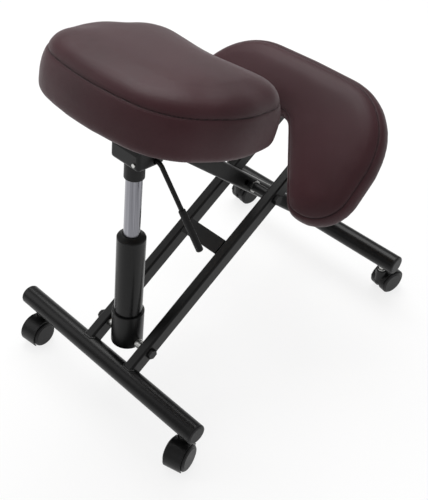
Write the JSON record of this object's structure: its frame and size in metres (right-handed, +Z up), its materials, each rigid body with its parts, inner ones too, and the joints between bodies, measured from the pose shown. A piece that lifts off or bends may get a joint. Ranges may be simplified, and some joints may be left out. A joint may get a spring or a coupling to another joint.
{
  "type": "kneeling chair",
  "caption": "Kneeling chair with a crossing tube frame on casters, a tilted seat, a notched knee pad and a gas lift with a release lever.",
  "frame": {"origin": "middle of the footprint, on the floor", "axes": "+Z up; the sitter faces -Y, where the knee pad is; the sitter's right is -X"},
  "size_m": [0.465, 0.656, 0.6786],
  "materials": {
    "frame_paint": "black powder coat, semi-gloss",
    "black_plastic": "moulded black plastic",
    "black_steel": "black oxide steel fasteners",
    "zinc": "bright zinc plate",
    "chrome": "polished chrome",
    "black_rod": "black coated rod",
    "plywood": "plain plywood",
    "vinyl": "dark burgundy vinyl, soft sheen",
    "stem_steel": "bright steel",
    "caster_plastic": "black nylon",
    "wheel_plastic": "black nylon"
  },
  "bodies": {
    "base_frame": {"rear_cross_tube": "frame_paint", "rear_end_caps": "black_plastic", "rail_right": "frame_paint", "rail_left": "frame_paint", "rail_plugs": "black_plastic", "rail_brace": "frame_paint", "main_pivot_bolt": "black_steel", "main_pivot_nut": "black_steel", "main_pivot_washers": "zinc", "main_pivot_spacers": "black_plastic", "lift_foot_bolt": "black_steel", "lift_foot_nut": "black_steel", "lift_foot_spacers": "zinc", "knee_bracket_right": "frame_paint", "knee_bracket_left": "frame_paint", "knee_board": "plywood", "knee_cushion": "vinyl", "knee_screws": "zinc", "caster_rear_right_stem": "stem_steel", "caster_rear_left_stem": "stem_steel"},
    "seat_frame": {"front_cross_tube": "frame_paint", "front_end_caps": "black_plastic", "seat_beam": "frame_paint", "seat_plate": "frame_paint", "seat_gusset": "frame_paint", "seat_board": "plywood", "seat_cushion": "vinyl", "seat_screws": "zinc", "caster_front_right_stem": "stem_steel", "caster_front_left_stem": "stem_steel"},
    "lift_cylinder": {"lift_cup": "frame_paint", "lift_tube": "frame_paint", "lift_guide": "black_plastic"},
    "lift_column": {"lift_column": "chrome", "lift_collar": "black_plastic", "lift_tray": "frame_paint", "lever_pin": "zinc", "top_pivot_bolt": "black_steel", "top_pivot_nut": "black_steel", "top_pivot_spacers": "black_plastic"},
    "lever": {"lever_rod": "black_rod", "lever_grip": "black_plastic"},
    "release_pin": {"release_pin": "zinc"},
    "caster_rear_right": {"caster_rear_right_hood": "caster_plastic", "caster_rear_right_axle": "stem_steel"},
    "wheel_rear_right_outer": {"caster_rear_right_wheel_outer": "wheel_plastic"},
    "wheel_rear_right_inner": {"caster_rear_right_wheel_inner": "wheel_plastic"},
    "caster_rear_left": {"caster_rear_left_hood": "caster_plastic", "caster_rear_left_axle": "stem_steel"},
    "wheel_rear_left_outer": {"caster_rear_left_wheel_outer": "wheel_plastic"},
    "wheel_rear_left_inner": {"caster_rear_left_wheel_inner": "wheel_plastic"},
    "caster_front_right": {"caster_front_right_hood": "caster_plastic", "caster_front_right_axle": "stem_steel"},
    "wheel_front_right_outer": {"caster_front_right_wheel_outer": "wheel_plastic"},
    "wheel_front_right_inner": {"caster_front_right_wheel_inner": "wheel_plastic"},
    "caster_front_left": {"caster_front_left_hood": "caster_plastic", "caster_front_left_axle": "stem_steel"},
    "wheel_front_left_outer": {"caster_front_left_wheel_outer": "wheel_plastic"},
    "wheel_front_left_inner": {"caster_front_left_wheel_inner": "wheel_plastic"}
  },
  "joints": [
    {"name": "seat_fold", "type": "hinge", "parent": "base_frame", "child": "seat_frame", "pos_m": [0, -0.09566, 0.27679], "axis": [-1, 0, 0], "range_deg": [0, 18]},
    {"name": "lift_swing", "type": "hinge", "parent": "base_frame", "child": "lift_cylinder", "pos_m": [0, 0.22789, 0.11689], "axis": [-1, 0, 0], "range_deg": [0, 9.41]},
    {"name": "lift_stroke", "type": "slide", "parent": "lift_cylinder", "child": "lift_column", "axis": [0, 0.1498, -0.9887], "range_m": [0, 0.0972]},
    {"name": "lever_pull", "type": "hinge", "parent": "lift_column", "child": "lever", "pos_m": [-0.023, 0.17085, 0.49339], "axis": [0, 0.9887, 0.1498], "range_deg": [0, 7], "stiffness_Nm_per_rad": 1.5, "springref_deg": -20.05},
    {"name": "release_press", "type": "slide", "parent": "lift_column", "child": "release_pin", "axis": [0, 0.1498, -0.9887], "range_m": [0, 0.0034]},
    {"name": "rear_right_swivel", "type": "hinge", "parent": "base_frame", "child": "caster_rear_right", "pos_m": [-0.2, 0.27872, 0.06], "axis": [0, 0, 1], "continuous": true},
    {"name": "rear_right_outer_roll", "type": "hinge", "parent": "caster_rear_right", "child": "wheel_rear_right_outer", "pos_m": [-0.20466, 0.29611, 0.025], "axis": [0.9659, 0.2588, 0], "continuous": true},
    {"name": "rear_right_inner_roll", "type": "hinge", "parent": "caster_rear_right", "child": "wheel_rear_right_inner", "pos_m": [-0.20466, 0.29611, 0.025], "axis": [0.9659, 0.2588, 0], "continuous": true},
    {"name": "rear_left_swivel", "type": "hinge", "parent": "base_frame", "child": "caster_rear_left", "pos_m": [0.2, 0.27872, 0.06], "axis": [0, 0, 1], "continuous": true},
    {"name": "rear_left_outer_roll", "type": "hinge", "parent": "caster_rear_left", "child": "wheel_rear_left_outer", "pos_m": [0.19812, 0.29662, 0.025], "axis": [0.9945, 0.1045, 0], "continuous": true},
    {"name": "rear_left_inner_roll", "type": "hinge", "parent": "caster_rear_left", "child": "wheel_rear_left_inner", "pos_m": [0.19812, 0.29662, 0.025], "axis": [0.9945, 0.1045, 0], "continuous": true},
    {"name": "front_right_swivel", "type": "hinge", "parent": "seat_frame", "child": "caster_front_right", "pos_m": [-0.2, -0.27902, 0.06], "axis": [0, 0, 1], "continuous": true},
    {"name": "front_right_outer_roll", "type": "hinge", "parent": "caster_front_right", "child": "wheel_front_right_outer", "pos_m": [-0.20374, -0.29663, 0.025], "axis": [-0.9781, 0.2079, 0], "continuous": true},
    {"name": "front_right_inner_roll", "type": "hinge", "parent": "caster_front_right", "child": "wheel_front_right_inner", "pos_m": [-0.20374, -0.29663, 0.025], "axis": [-0.9781, 0.2079, 0], "continuous": true},
    {"name": "front_left_swivel", "type": "hinge", "parent": "seat_frame", "child": "caster_front_left", "pos_m": [0.2, -0.27902, 0.06], "axis": [0, 0, 1], "continuous": true},
    {"name": "front_left_outer_roll", "type": "hinge", "parent": "caster_front_left", "child": "wheel_front_left_outer", "pos_m": [0.1975, -0.29685, 0.025], "axis": [-0.9903, 0.1392, 0], "continuous": true},
    {"name": "front_left_inner_roll", "type": "hinge", "parent": "caster_front_left", "child": "wheel_front_left_inner", "pos_m": [0.1975, -0.29685, 0.025], "axis": [-0.9903, 0.1392, 0], "continuous": true}
  ],
  "couplings": [
    {"joint": "lift_swing", "follows": "seat_fold", "ratio": 0.5225},
    {"joint": "lift_stroke", "follows": "seat_fold", "m_per_rad": 0.309},
    {"joint": "release_press", "follows": "lever_pull", "m_per_rad": 0.0272}
  ]
}
